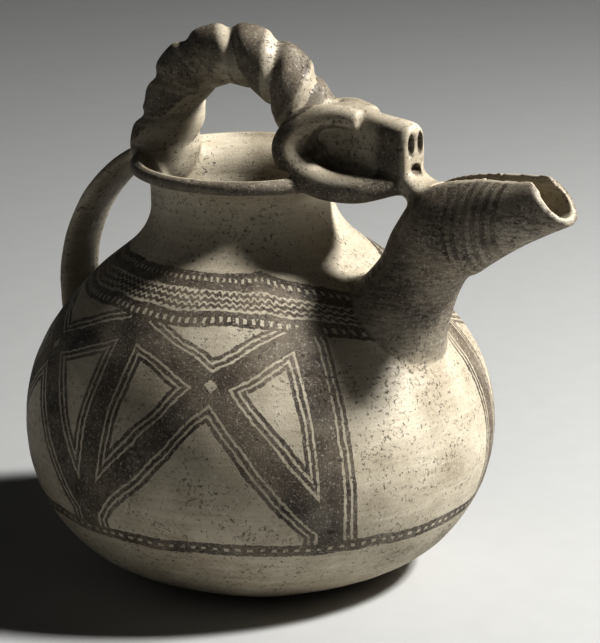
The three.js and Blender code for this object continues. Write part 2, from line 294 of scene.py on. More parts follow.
def turned(sizes, name, line):
    """A solid turned about the jug's own leaning middle from a line of radius and height."""
    bm = bmesh.new()
    points = [bm.verts.new((radius, 0, height)) for radius, height in line]
    spin_round(bm, points, 128)
    bmesh.ops.remove_doubles(bm, verts=bm.verts, dist=1e-6)
    for vert in bm.verts:
        vert.co.x += lean(sizes, vert.co.z)
    return solid(name, bm)


def ringed_bar(sides, steps):
    """A closed upright bar of unit size, cut into rings."""
    bm = bmesh.new()
    bmesh.ops.create_cone(bm, cap_ends=True, segments=sides, radius1=1, radius2=1, depth=1)
    upright = [edge for edge in bm.edges if abs(edge.verts[0].co.z - edge.verts[1].co.z) > 0.5]
    bmesh.ops.subdivide_edges(bm, edges=upright, cuts=steps - 1)
    return bm


def rod(name, centres, sides, section):
    """A closed rod along points; section(along, around) gives its half sizes in its plane and across it."""
    steps = len(centres) - 1
    tangents = np.gradient(np.array(centres), axis=0)
    bm = ringed_bar(sides, steps)
    for vert in bm.verts:
        along = vert.co.z + 0.5
        around = math.atan2(vert.co.y, vert.co.x)
        ring = round(along * steps)
        tangent = Vector(tangents[ring]).normalized()
        outward = Vector((-tangent.z, 0, tangent.x)).normalized()
        across = outward.cross(tangent).normalized()
        deep, wide = section(along, around)
        offset = outward * deep * math.cos(around) + across * wide * math.sin(around)
        vert.co = Vector(centres[ring]) + offset
    return solid(name, bm)


def block(sizes, name, stations):
    """A rounded block of the head along stations."""
    rows = smooth_line(stations, 30)
    back = head_back(sizes)
    under = head_under(sizes)
    squareness = 3.0
    steps = len(rows) - 1
    bm = ringed_bar(36, steps)
    for vert in bm.verts:
        along, low, high, wide = rows[round((vert.co.z + 0.5) * steps)]
        x, y = vert.co.x, vert.co.y
        out = (abs(x) ** squareness + abs(y) ** squareness) ** (-1 / squareness)
        vert.co = (
            back + sizes.head_length * along,
            0.5 * sizes.head_width * wide * out * y,
            under + sizes.head_height * (0.5 * (low + high) + 0.5 * (high - low) * out * x),
        )
    return solid(name, bm)


def rim_middle(sizes):
    """Where the rim's middle is along the jug."""
    return sizes.rim_shift - sizes.neck_shift


def head_back(sizes):
    """Where the head begins behind the lip."""
    return rim_middle(sizes) + sizes.rim_radius - 0.021


def head_under(sizes):
    """The height of the head's under side."""
    return sizes.rim_height - 0.0045


def beak_line(sizes, count):
    """Places and radii along the beak: x, z and radius."""
    rows = smooth_line(BEAK, count)
    return np.stack(
        [
            sizes.beak_start + sizes.beak_run * rows[:, 0],
            sizes.beak_foot + (sizes.beak_tip - sizes.beak_foot) * rows[:, 1],
            sizes.beak_radius * rows[:, 2],
        ],
        axis=1,
    )


def beak_rod(sizes, name, inset):
    """The beak as a solid rod, or its bore when it is set in by the wall."""
    line = beak_line(sizes, 60)
    centres = [(x, 0, z) for x, z, radius in line]

    def section(along, around):
        size = line[round(along * 59)][2] - inset
        return size, size

    return rod(name, centres, 40, section)


def rope_line(sizes, count):
    """Places along the middle of the twisted handle, from the back of the lip over to its front."""
    s = sizes
    lip = s.rim_radius - s.lip / 2
    middle = rim_middle(s) - 0.003
    spring = s.rim_height + s.rope_leg
    points = [
        (rim_middle(s) - lip, 0, s.rim_height - 1.5 * s.lip),
        (rim_middle(s) - lip + s.lip / 3, 0, s.rim_height),
    ]
    for i in range(9):
        angle = math.pi * (1 - i / 8)
        points.append((middle + s.rope_half * math.cos(angle), 0, spring + s.rope_rise * math.sin(angle)))
    points.append((rim_middle(s) + lip - 0.75 * s.lip, 0, s.rim_height + s.lip / 4))
    points.append((rim_middle(s) + lip, 0, s.rim_height - s.lip))
    return smooth_line(points, count)


def rope(sizes):
    """The twisted basket handle, pressed onto the lip at both feet."""
    s = sizes

    def section(along, around):
        turn = around + 2 * math.pi * s.rope_turns * along
        foot = max(0.0, 1 - min(along, 1 - along) / 0.13) ** 1.5
        back = max(0.0, 1 - along / 0.2)
        groove = s.rope_groove * (1 - 0.6 * foot) * abs(math.cos(turn)) ** 9
        radius = s.rope_radius - groove
        deep = radius + (s.lip / 2 - radius) * foot
        return deep + 0.5 * s.lip * back * (1 - foot), radius + s.lip * (0.6 * foot + 1.2 * back * (1 - foot))

    return rod("rope", [tuple(p) for p in rope_line(s, 180)], 72, section)


def strap(sizes):
    """The strap handle from the back of the lip to the shoulder."""
    s = sizes
    foot_height = s.belly_height + 0.032
    top_height = s.rim_height - s.lip / 3
    rise = top_height - foot_height
    line = outline(s)
    radius = np.interp(foot_height, line[:, 1], line[:, 0])
    top = Vector((rim_middle(s) - s.rim_radius + s.lip, 0, top_height))
    foot = Vector((lean(s, foot_height) - radius + s.wall / 2, 0, foot_height))
    reach = top + Vector((-0.034, 0, -0.06 * rise))
    fall = foot + Vector((-0.022, 0, 0.43 * rise))
    centres = [tuple(point) for point in interpolate_bezier(top, reach, fall, foot, 60)]

    def section(along, around):
        # The strap is a little waisted and spreads where it was pressed onto the wall.
        from_middle = abs(2 * along - 1)
        spread = 1 + max(0.0, from_middle - 0.72)
        return s.strap_thickness / 2, s.strap_width / 2 * spread * (0.94 + 0.06 * from_middle)

    return rod("strap", centres, 32, section)


def horn(sizes, side):
    """One curled horn."""
    line = horn_line(sizes, side, 70)

    def section(along, around):
        size = line[round(along * 69)][3]
        return size, size

    return rod("horn", [tuple(row[:3]) for row in line], 28, section)


def horn_line(sizes, side, count):
    """Places and radii along a horn: x, y, z and radius."""
    s = sizes
    rows = smooth_line(HORN, count)
    back = head_back(s) + s.horn_radius / 4
    low = head_under(s) + s.horn_radius / 5
    return np.stack(
        [
            back + rows[:, 0] * s.horn_length,
            side * rows[:, 1] * s.horn_spread,
            low + rows[:, 2] * s.horn_height,
            rows[:, 3] * s.horn_radius,
        ],
        axis=1,
    )


def belly(sizes):
    """The clay of the belly, neck and rounded lip, without its hollow."""
    s = sizes
    lip = s.lip / 2
    edge = [
        (s.rim_radius - lip + lip * math.cos(a), s.rim_height - lip + lip * math.sin(a))
        for a in np.linspace(-math.pi / 2, math.pi / 2, 10)[1:]
    ]
    return turned(s, "belly", [(0, 0), *outline(s), *edge, (0, s.rim_height)])


def hollow(sizes):
    """The hollow of the belly and mouth."""
    s = sizes
    inner = inner_line(s, outline(s))
    mouth = s.rim_radius - 0.6 * s.lip
    bevel = 0.4 * s.lip
    line = [
        (0, s.floor),
        (inner[0][0] - s.wall, s.floor),
        *inner,
        (mouth - bevel, s.rim_height - bevel),
        (mouth, s.rim_height),
        (mouth, s.rim_height + bevel),
        (0, s.rim_height + bevel),
    ]
    return turned(s, "hollow", line)


def prism(name, corners, width):
    """A flat prism from corners in the plane of symmetry, half its width on either side."""
    bm = bmesh.new()
    face = bm.faces.new([bm.verts.new((x, -width / 2, z)) for x, z in corners])
    made = bmesh.ops.extrude_face_region(bm, geom=[face])
    moved = [part for part in made["geom"] if isinstance(part, bmesh.types.BMVert)]
    bmesh.ops.translate(bm, vec=(0, width, 0), verts=moved)
    return solid(name, bm)


def beyond_tip(sizes):
    """What is cut off beyond the slanting mouth of the beak."""
    slant = math.radians(43)
    x = sizes.beak_start + sizes.beak_run - 0.005
    z = sizes.beak_tip - sizes.beak_radius / 2
    reach = 3 * sizes.beak_radius
    low = (x + math.sin(slant) * reach, z - math.cos(slant) * reach)
    high = (x - math.sin(slant) * reach, z + math.cos(slant) * reach)
    away = 4 * sizes.beak_radius
    return prism("beyond_tip", [low, (low[0] + away, low[1]), (high[0] + away, high[1]), high], away)


def slot_cut(sizes):
    """The slot that opens the beak from the chin to the tip."""
    s = sizes
    line = [(x, z) for x, z, radius in beak_line(s, 8) if x > s.slot_start]
    last = line[-1]
    top = last[1] + 2 * s.beak_radius
    ramp = (s.slot_start, line[0][1] + 0.6 * s.beak_radius)
    made = prism("slot", [ramp, *line, (last[0], top), (s.slot_start, top)], 1.0)
    for vert in made.data.vertices:
        share = (vert.co.x - s.slot_start) / (last[0] - s.slot_start)
        vert.co.y *= s.slot_width + (s.slot_tip - s.slot_width) * share
    return made


def egg(name, place, half_sizes):
    """A rounded lump, level with the axes."""
    bm = bmesh.new()
    bmesh.ops.create_uvsphere(bm, u_segments=32, v_segments=20, radius=1)
    matrix = Matrix.Translation(place) @ Matrix.Diagonal((*half_sizes, 1))
    bmesh.ops.transform(bm, matrix=matrix, verts=bm.verts)
    return solid(name, bm)


def press(sizes, side, up, width, height):
    """A shallow oval that is pressed into the face."""
    place = (head_back(sizes) + sizes.head_length, side, head_under(sizes) + up * sizes.head_height)
    return egg("press", place, (0.0032, width / 2, height / 2))


def rope_root(sizes):
    """The clay that was left inside the mouth to carry the twisted handle's back foot."""
    place = (rim_middle(sizes) - sizes.rope_half - 0.004, 0, sizes.rim_height + 0.006)
    return egg("rope_root", place, (0.0135, 0.021, 0.027))


def finish_modifiers(piece):
    """Makes a piece's modifiers part of its mesh."""
    graph = bpy.context.evaluated_depsgraph_get()
    made = bpy.data.meshes.new_from_object(piece.evaluated_get(graph))
    piece.modifiers.clear()
    old = piece.data
    piece.data = made
    bpy.data.meshes.remove(old)


def fuse(name, parts, grain):
    """Joins closed parts into one skin, as fine as the grain."""
    bm = bmesh.new()
    for part in parts:
        bm.from_mesh(part.data)
        bpy.data.objects.remove(part)
    joined = solid(name, bm)
    remesh = joined.modifiers.new("remesh", "REMESH")
    remesh.mode = "VOXEL"
    remesh.voxel_size = grain
    finish_modifiers(joined)
    return joined


def cut(piece, parts):
    """Cuts closed parts out of a piece."""
    for part in parts:
        boolean = piece.modifiers.new("cut", "BOOLEAN")
        boolean.operation = "DIFFERENCE"
        boolean.solver = "MANIFOLD"
        boolean.object = part
        finish_modifiers(piece)
        bpy.data.objects.remove(part)


def places(mesh):
    """The places of a mesh's vertices as rows."""
    rows = np.empty(len(mesh.vertices) * 3)
    mesh.vertices.foreach_get("co", rows)
    return rows.reshape(-1, 3)


def soften(piece, repeat, spots=()):
    """Smooths a piece, all over or only round spots given by a centre and a radius."""
    smooth = piece.modifiers.new("soften", "SMOOTH")
    smooth.factor = 0.5
    smooth.iterations = repeat
    if spots:
        rows = places(piece.data)
        weight = np.zeros(len(rows))
        for centre, radius in spots:
            near = 1 - np.linalg.norm(rows - np.array(centre), axis=1) / radius
            weight = np.maximum(weight, np.clip(1.6 * near, 0, 1))
        group = piece.vertex_groups.new(name="soften")
        for i in np.nonzero(weight)[0]:
            group.add([int(i)], float(weight[i]), "REPLACE")
        smooth.vertex_group = group.name
    finish_modifiers(piece)
    piece.vertex_groups.clear()


def swell(piece, depth):
    """Lets the hand-built wall swell and dip a little."""
    rows = places(piece.data)
    normals = np.empty(rows.size)
    piece.data.vertices.foreach_get("normal", normals)
    points = [Vector(row) for row in rows]
    wide = np.array([noise.noise(point * 22) for point in points])
    close = np.array([noise.noise(point * 85) for point in points])
    rows += normals.reshape(-1, 3) * (depth * (wide + 0.35 * close))[:, None]
    rows[:, 2] = np.maximum(rows[:, 2], 0)
    piece.data.vertices.foreach_set("co", rows.ravel())
    piece.data.update()


def near_line(rows, line):
    """For each row, the nearest sample of a line, as its index and the offset from it."""
    best = np.full(len(rows), np.inf)
    index = np.zeros(len(rows), int)
    for i, point in enumerate(line):
        away = ((rows - point) ** 2).sum(axis=1)
        closer = away < best
        best[closer] = away[closer]
        index[closer] = i
    return index, rows - line[index]


def keep(mesh, name, values):
    """Stores a number for each vertex."""
    layer = mesh.attributes.new(name, "FLOAT", "POINT")
    layer.data.foreach_set("value", np.asarray(values, np.float32))


def beak_zone(sizes, rows, off_wall):
    """Where the beak's skin and bore are, and each point's metres along it and around it from the top."""
    s = sizes
    beak = beak_line(s, 90)
    index, offset = near_line(rows, np.stack([beak[:, 0], 0 * beak[:, 0], beak[:, 1]], axis=1))
    away = np.linalg.norm(offset, axis=1)
    radius = beak[index, 2]
    bore = (away < radius - 0.6 * s.beak_wall) & (rows[:, 0] > s.beak_start + 0.2 * s.beak_run)
    skin = (away < radius + 0.004) & (off_wall > 0.002) & ~bore & (index < 86)
    run = np.concatenate([[0], np.cumsum(np.hypot(np.diff(beak[:, 0]), np.diff(beak[:, 1])))])
    tangent = np.gradient(beak[:, :2], axis=0)
    tangent /= np.linalg.norm(tangent, axis=1)[:, None]
    up = offset[:, 2] * tangent[index, 0] - offset[:, 0] * tangent[index, 1]
    along = run[index] + offset[:, 0] * tangent[index, 0] + offset[:, 2] * tangent[index, 1]
    around = np.arctan2(np.abs(offset[:, 1]), up) * radius
    return skin, bore, along, around


def rope_zone(sizes, rows):
    """Where the twisted handle is painted, and each point's share of the way round its strand."""
    s = sizes
    line = rope_line(s, 180)
    index, offset = near_line(rows, line)
    above_lip = rows[:, 2] > s.rim_height + 0.001
    painted = (np.linalg.norm(offset, axis=1) < s.rope_radius + 0.006) & above_lip
    tangent = np.gradient(line, axis=0)
    tangent /= np.linalg.norm(tangent, axis=1)[:, None]
    outward = -offset[:, 0] * tangent[index, 2] + offset[:, 2] * tangent[index, 0]
    turn = np.arctan2(offset[:, 1], outward) + 2 * math.pi * s.rope_turns * index / 179
    # The paint stops on a slant at the back foot, whose inner side is bare, and in front at the head.
    inner_side = rows[:, 0] - (rim_middle(s) - s.rope_half - s.rope_radius - 0.003)
    back = rows[:, 0] < rim_middle(s)
    painted &= ~(back & (rows[:, 2] - s.rim_height < 0.001 + 0.85 * inner_side))
    on_head = (rows[:, 0] > head_back(s)) & above_lip & (np.abs(rows[:, 1]) < 0.03)
    painted &= ~(on_head & (rows[:, 0] > rim_middle(s) + s.rope_half + 0.008))
    return painted, (turn / math.pi) % 1


def horn_zone(sizes, rows):
    """How dark the horns are: the outer half of each ring is dark, partly paint and partly painted shade, and
    its top is bare.
    """
    s = sizes
    dark = np.zeros(len(rows))
    middle = np.array([head_back(s) + 0.5 * s.horn_length, 0, head_under(s) + 0.5 * s.horn_height])
    for side in (-1, 1):
        line = horn_line(s, side, 70)
        index, offset = near_line(rows, line[:, :3])
        close = np.linalg.norm(offset, axis=1) < 1.35 * line[index, 3]
        ring = line[index, :3] - middle
        ring[:, 1] = 0
        ring /= np.linalg.norm(ring, axis=1)[:, None]
        # Paint and painted shade: the outer and lower faces of each ring are darkened, and the inner faces
        # are left bare.
        out = (offset * ring).sum(axis=1) + 0.3 * side * offset[:, 1]
        outer = close * np.clip(out / (0.4 * line[index, 3]) + 0.5, 0, 1)
        outer *= np.clip((0.95 - (rows[:, 2] - head_under(s)) / s.horn_height) / 0.12, 0, 1)
        dark = np.maximum(dark, outer)
    return dark


def lip_zone(sizes, rows):
    """How dark the lip's outer edge is."""
    s = sizes
    from_rim = np.hypot(rows[:, 0] - rim_middle(s), rows[:, 1])
    dark = np.clip((from_rim - s.rim_radius + 0.0042) / 0.0014, 0, 0.8)
    dark *= np.clip((rows[:, 2] - s.rim_height + 0.0095) / 0.003, 0, 1)
    return dark * (rows[:, 2] < s.rim_height + 0.002) * (from_rim < s.rim_radius + 0.003)


def face_zone(sizes, rows):
    """How dark the head is: a stripe down each side of the muzzle, painted shade on the sunk cheeks, and the
    eyes and mouth.
    """
    s = sizes
    x, y, z = rows.T
    face = head_back(s) + s.head_length
    side = np.abs(y)
    stripe = np.clip(4 * (1 - np.abs((x - face) / 0.0078 + 1.25)), 0, 0.9) * (side > 0.3 * s.head_width)
    # Painted shade: the cheeks behind the muzzle, sunk inside the horn rings, are darkened.
    cheek = np.clip((face - 0.028 - x) / 0.012, 0, 0.75) * (side > 0.36 * s.head_width)
    cheek *= (x > head_back(s) + 0.006) & (z < s.rim_height + 0.026)
    dark = np.maximum(stripe, cheek)
    dark *= (z > s.rim_height - 0.004) & (z < s.rim_height + 0.032) & (side < 0.016)
    near_face = (x > face - 0.006) & (x < face + 0.004)
    # The eyes and the mouth are dark ovals: partly paint, partly painted shade in the pressed hollows.
    for across, up, wide, high in FACE_MARKS:
        level = z - head_under(s) - up * s.head_height
        oval = ((y - across) / (0.5 * wide)) ** 2 + (level / (0.5 * high)) ** 2
        dark = np.maximum(dark, np.clip(3 * (1.15 - oval), 0, 1) * near_face)
    return dark


def mark_zones(sizes, mesh):
    """Marks where the brush went and where shade is painted on the head and horns, and where the jug is
    hollow.
    """
    s = sizes
    rows = places(mesh)
    line = outline(s)
    radius = np.hypot(rows[:, 0] - lean(s, rows[:, 2]), rows[:, 1])
    wall = np.interp(rows[:, 2], line[:, 1], line[:, 0])
    inside = np.clip((wall - radius - 0.0025) / 0.0015, 0, 1) * (rows[:, 2] < s.rim_height - 0.001)
    belly_skin = 1 - np.clip((np.abs(radius - wall) - 0.002) / 0.004, 0, 1)
    beak, bore, beak_along, beak_around = beak_zone(s, rows, radius - wall)
    rope_painted, strand = rope_zone(s, rows)
    trim_and_shade = np.maximum(horn_zone(s, rows), lip_zone(s, rows))
    trim_and_shade *= rows[:, 0] < head_back(s) + s.head_length - 0.004
    trim_and_shade = np.maximum(trim_and_shade, face_zone(s, rows))

    keep(mesh, "hollow", np.maximum(inside, bore))
    keep(mesh, "belly_skin", belly_skin * (1 - inside) * (rows[:, 2] < s.neck_height))
    keep(mesh, "beak", beak)
    keep(mesh, "beak_along", beak_along)
    keep(mesh, "beak_around", beak_around)
    keep(mesh, "rope", rope_painted)
    keep(mesh, "strand", strand)
    keep(mesh, "trim_and_shade", trim_and_shade)


def add(tree, kind, *inputs, out=0, **settings):
    """Adds a node with its settings and links, and gives one of its outputs."""
    made = tree.nodes.new("ShaderNode" + kind)
    for name, value in settings.items():
        setattr(made, name, value)
    given = inputs[0].items() if inputs and isinstance(inputs[0], dict) else enumerate(inputs)
    for place, value in given:
        if isinstance(value, bpy.types.NodeSocket):
            tree.links.new(value, made.inputs[place])
        elif value is not None:
            made.inputs[place].default_value = value
    return made.outputs[out] if made.outputs else None


def set_stops(socket, width, stops):
    """Sets a ramp to bands: each stop is a distance in millimetres and how dark it is from there on."""
    ramp = socket.node.color_ramp
    ramp.interpolation = "LINEAR"
    soft = 0.12
    points = [(0.0, stops[0][1])]
    for (start, dark), (before, last) in zip(stops[1:], stops):
        points.append(((start - soft) / width, last))
        points.append(((start + soft) / width, dark))
    elements = ramp.elements
    while len(elements) < len(points):
        elements.new(1.0)
    for element, (place, dark) in zip(elements, points):
        element.position = min(place, 1.0)
        element.color = (dark, dark, dark, 1)


def brushed_pattern(tree, sizes):
    """How dark the brushwork is: six crossed panels between upright bands, under a band of wavy lines."""
    coords = add(tree, "TexCoord", out="Object")
    hand = add(tree, "TexNoise", coords, 0.0, 34.0, 1.0, out="Color")
    edge = add(tree, "TexNoise", coords, 0.0, 330.0, 3.0, out="Color")
    # The brush wanders about 1.5 mm over a stroke, and its edge is ragged by 0.5 mm.
    wander = add(tree, "VectorMath", hand, (0.0045,) * 3, (-0.00225,) * 3, operation="MULTIPLY_ADD")
    ragged = add(tree, "VectorMath", edge, (0.0018,) * 3, (-0.0009,) * 3, operation="MULTIPLY_ADD")
    brushed = add(tree, "VectorMath", coords, wander, operation="ADD")
    brushed = add(tree, "VectorMath", brushed, ragged, operation="ADD")
    split = add(tree, "SeparateXYZ", brushed).node
    x, y, z = split.outputs
    level = z

    rise = add(tree, "Math", z, sizes.belly_height, operation="SUBTRACT")
    rise = add(tree, "Math", rise, 0.0, operation="MAXIMUM")
    tilt = add(tree, "Math", rise, 1 / (sizes.neck_height - sizes.belly_height), operation="MULTIPLY")
    tilt = add(tree, "Math", tilt, 2.0, operation="POWER")
    x = add(tree, "Math", tilt, sizes.neck_shift, x, operation="MULTIPLY_ADD")
    angle = add(tree, "Math", y, x, operation="ARCTAN2")
    radius = add(tree, "Math", x, x, operation="MULTIPLY")
    radius = add(tree, "Math", y, y, radius, operation="MULTIPLY_ADD")
    radius = add(tree, "Math", radius, operation="SQRT")
    # Height measured along the wall: the shoulder slopes away, so a line there is longer than it is high.
    slope = add(tree, "Math", rise, 1 / 0.077, operation="MULTIPLY")
    slope = add(tree, "Math", slope, 2.6, operation="POWER")
    climb = add(tree, "Math", slope, 0.014, z, operation="MULTIPLY_ADD")

    # Each upright band leans by hand, some one way and some the other.
    sway = add(tree, "Math", angle, 2.0, math.radians(196), operation="MULTIPLY_ADD")
    sway = add(tree, "Math", sway, operation="COSINE")
    sway = add(tree, "Math", sway, 1.05, 0.17, operation="MULTIPLY_ADD")
    up = add(tree, "Math", z, 0.095, operation="SUBTRACT")
    sway = add(tree, "Math", sway, up, operation="MULTIPLY")
    turned_to = add(tree, "Math", angle, sway, operation="SUBTRACT")
    panel = math.radians(60)
    bare_panel = math.radians(-8)
    turn = add(tree, "Math", turned_to, panel / 2 - bare_panel, operation="ADD")
    turn = add(tree, "Math", turn, panel, operation="FLOORED_MODULO")
    turn = add(tree, "Math", turn, panel / 2, operation="SUBTRACT")
    turn = add(tree, "Math", turn, operation="ABSOLUTE")
    across = add(tree, "Math", turn, radius, operation="MULTIPLY")
    to_band = add(tree, "Math", turn, -1.0, panel / 2, operation="MULTIPLY_ADD")
    to_band = add(tree, "Math", to_band, radius, operation="MULTIPLY")

    # Distance to the two arms of the cross, mirrored about the panel's middle.
    cross_height = 0.1286
    climb = add(tree, "Math", climb, cross_height, operation="SUBTRACT")
    upper, lower = math.radians(29.5), math.radians(50)
    arm = add(tree, "Math", climb, -math.cos(upper), operation="MULTIPLY")
    arm = add(tree, "Math", across, math.sin(upper), arm, operation="MULTIPLY_ADD")
    arm = add(tree, "Math", arm, operation="ABSOLUTE")
    leg = add(tree, "Math", climb, math.cos(lower), operation="MULTIPLY")
    leg = add(tree, "Math", across, math.sin(lower), leg, operation="MULTIPLY_ADD")
    leg = add(tree, "Math", leg, operation="ABSOLUTE")
    above = add(tree, "Math", across, 0.18, climb, operation="MULTIPLY_ADD")
    above = add(tree, "Math", above, 0.0, operation="GREATER_THAN")
    crossed = add(tree, "Mix", {0: above, 2: leg, 3: arm}, data_type="FLOAT")
    # The panel under the beak is left bare.
    bare = add(tree, "Math", turned_to, bare_panel, panel / 2, operation="COMPARE")
    crossed = add(tree, "Math", crossed, bare, operation="ADD")
    nearest = add(tree, "Math", crossed, to_band, operation="MINIMUM")
    reach = 16
    nearest = add(tree, "Math", nearest, 1000 / reach, operation="MULTIPLY")
    lines = add(tree, "ValToRGB", nearest)
    set_stops(lines, reach, [(0, 1), (6.1, 0), (7.4, 1), (9.4, 0), (10.7, 1), (12.7, 0)])
    frieze = add(tree, "Math", z, 0.0975, 0.0502, operation="COMPARE")
    lines = add(tree, "Math", lines, frieze, operation="MULTIPLY")
    # A small bare lozenge where the arms cross.
    lozenge = add(tree, "Math", climb, operation="ABSOLUTE")
    lozenge = add(tree, "Math", lozenge, across, operation="ADD")
    lozenge = add(tree, "Math", lozenge, 0.0036, operation="GREATER_THAN")
    lozenge = add(tree, "Math", lozenge, bare, operation="MAXIMUM")
    lines = add(tree, "Math", lines, lozenge, operation="MULTIPLY")

    # The shoulder's band: light squares, wavy lines and light dots between plain dark edges.
    # The band dips on either side of the beak.
    dip = add(tree, "Math", angle, operation="ABSOLUTE")
    dip = add(tree, "MapRange", dip, math.radians(12), math.radians(48), 0.0105, 0.0)
    z = add(tree, "Math", z, dip, operation="ADD")
    beat = add(tree, "Math", angle, 125.0, operation="MULTIPLY")
    beat = add(tree, "Math", beat, operation="SINE")
    middle = add(tree, "Math", z, 0.1573, 0.0036, operation="COMPARE")
    wave = add(tree, "Math", beat, middle, operation="MULTIPLY")
    wavy = add(tree, "Math", wave, 0.00045, z, operation="MULTIPLY_ADD")
    wavy = add(tree, "Math", wavy, 1 / 0.024, -0.145 / 0.024, operation="MULTIPLY_ADD")
    band = add(tree, "ValToRGB", wavy)
    dark_from = [2.4, 9.3, 11.4, 13.7, 16.0]
    bare_from = [8.2, 10.6, 12.9, 15.0, 22.6]
    stops = [(0, 0)]
    for dark, light in zip(dark_from, bare_from):
        stops += [(dark, 1), (light, 0)]
    set_stops(band, 24, stops)
    marks = add(tree, "Math", beat, 0.25, operation="GREATER_THAN")
    squares = add(tree, "Math", z, 0.1499, 0.0010, operation="COMPARE")
    dots = add(tree, "Math", z, 0.1649, 0.0008, operation="COMPARE")
    spots = add(tree, "Math", squares, dots, operation="ADD")
    dashes = add(tree, "Math", level, 0.0444, 0.0008, operation="COMPARE")
    spots = add(tree, "Math", spots, dashes, operation="ADD")
    spots = add(tree, "Math", spots, marks, operation="MULTIPLY")
    hem = add(tree, "Math", level, 0.0443, 0.0033, operation="COMPARE")
    bands = add(tree, "Math", band, hem, operation="MAXIMUM")
    bands = add(tree, "Math", bands, spots, operation="SUBTRACT")
    pattern = add(tree, "Math", lines, bands, operation="MAXIMUM")
    skin = add(tree, "Attribute", attribute_name="belly_skin", out="Fac")
    return coords, add(tree, "Math", pattern, skin, operation="MULTIPLY")


def brushwork_and_shade(tree, coords, pattern):
    """Adds the brushwork of the beak, the handle, the horns and the head, and the painted shade on the head
    and horns, to the belly's pattern.
    """
    beak = add(tree, "Attribute", attribute_name="beak", out="Fac")
    along = add(tree, "Attribute", attribute_name="beak_along", out="Fac")
    around = add(tree, "Attribute", attribute_name="beak_around", out="Fac")
    # Rings of short strokes near the tip, and a scalloped row under the slot's edge.
    slant = add(tree, "Math", around, 0.35, along, operation="MULTIPLY_ADD")
    rings = add(tree, "Math", slant, 2 * math.pi / 0.0048, operation="MULTIPLY")
    rings = add(tree, "Math", rings, operation="SINE")
    rings = add(tree, "Math", rings, -0.1, operation="GREATER_THAN")
    tip = add(tree, "Math", slant, 0.134, 0.014, operation="COMPARE")
    rings = add(tree, "Math", rings, tip, operation="MULTIPLY")
    row = add(tree, "Math", around, 0.016, 0.0035, operation="COMPARE")
    scallop = add(tree, "Math", along, 2 * math.pi / 0.0055, operation="MULTIPLY")
    scallop = add(tree, "Math", scallop, operation="SINE")
    scallop = add(tree, "Math", scallop, 0.62, operation="LESS_THAN")
    row = add(tree, "Math", row, scallop, operation="MULTIPLY")
    before_tip = add(tree, "Math", along, 0.122, operation="LESS_THAN")
    row = add(tree, "Math", row, before_tip, operation="MULTIPLY")
    hatch = add(tree, "Mapping", coords, (0, 0, 0), (0, math.radians(-35), 0), (90, 260, 700))
    hatch = add(tree, "TexNoise", hatch, 0.0, 1.0, 1.0, out="Fac")
    hatch = add(tree, "Math", hatch, 0.49, operation="GREATER_THAN")
    low = add(tree, "MapRange", around, 0.018, 0.026, 0.0, 0.9)
    root = add(tree, "MapRange", along, 0.052, 0.075, 0.9, 0.0)
    low = add(tree, "Math", low, root, operation="MAXIMUM")
    hatch = add(tree, "Math", hatch, low, operation="MULTIPLY")
    strokes = add(tree, "Math", rings, row, operation="MAXIMUM")
    strokes = add(tree, "Math", strokes, hatch, operation="MAXIMUM")
    # A thin wash lies under all of them.
    strokes = add(tree, "Math", strokes, 0.68, operation="MAXIMUM")
    fade = add(tree, "MapRange", along, 0.012, 0.055, 0.0, 1.0)
    lip = add(tree, "MapRange", around, 0.009, 0.0105, 0.0, 1.0)
    fade = add(tree, "Math", fade, lip, operation="MULTIPLY")
    strokes = add(tree, "Math", strokes, fade, operation="MULTIPLY")
    strokes = add(tree, "Math", strokes, beak, operation="MULTIPLY")

    rope = add(tree, "Attribute", attribute_name="rope", out="Fac")
    strand = add(tree, "Attribute", attribute_name="strand", out="Fac")
    # Each strand is dark but for a pale edge along its groove.
    strand = add(tree, "MapRange", strand, 0.68, 0.76, 0.86, 0.1)
    strand = add(tree, "Math", strand, rope, operation="MULTIPLY")
    trim_and_shade = add(tree, "Attribute", attribute_name="trim_and_shade", out="Fac")
    pattern = add(tree, "Math", pattern, strokes, operation="MAXIMUM")
    pattern = add(tree, "Math", pattern, strand, operation="MAXIMUM")
    return add(tree, "Math", pattern, trim_and_shade, operation="MAXIMUM")


